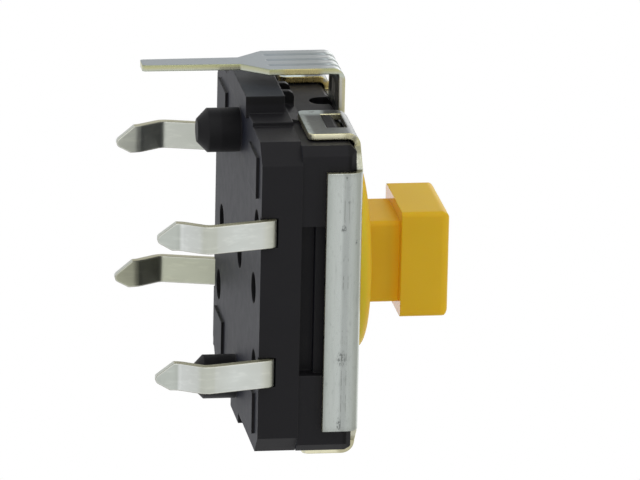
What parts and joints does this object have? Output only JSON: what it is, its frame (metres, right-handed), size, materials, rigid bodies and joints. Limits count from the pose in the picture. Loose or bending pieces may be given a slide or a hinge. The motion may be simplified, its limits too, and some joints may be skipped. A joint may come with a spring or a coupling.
{
  "type": "tactile push button switch",
  "caption": "Through-hole tactile push button with a black body, metal latch frame with ribbed ground terminal, snap-in leads and a yellow square key stem.",
  "frame": {"origin": "on the board's face, under the four standoff pads, midway between the two locating bosses and between the two lead rows", "axes": "+Z away from the board along the plunger's travel axis, X across the two lead rows, +Y towards the ground terminal"},
  "size_m": [0.0132, 0.0129, 0.0108],
  "materials": {
    "black_body": "moulded black plastic with a fine satin grain",
    "plated_leads": "bright silver plating, brassy where sheared",
    "spring_metal": "plain rolled spring strip",
    "yellow_key": "yellow satin plastic, slightly translucent",
    "plated_frame": "plated sheet, finely rolled, with scuffs and brassy cut edges"
  },
  "bodies": {
    "body": {"base": "black_body", "centre_contact_terminals": "plated_leads", "rim_contact_terminals": "plated_leads", "snap_dome": "spring_metal", "frame": "plated_frame"},
    "button": {"plunger": "yellow_key"}
  },
  "joints": [
    {"name": "plunger_press", "type": "slide", "parent": "body", "child": "button", "axis": [0, 0, -1], "range_m": [0, 0.0003], "stiffness_N_per_m": 8500, "deforming": ["snap_dome"]}
  ]
}
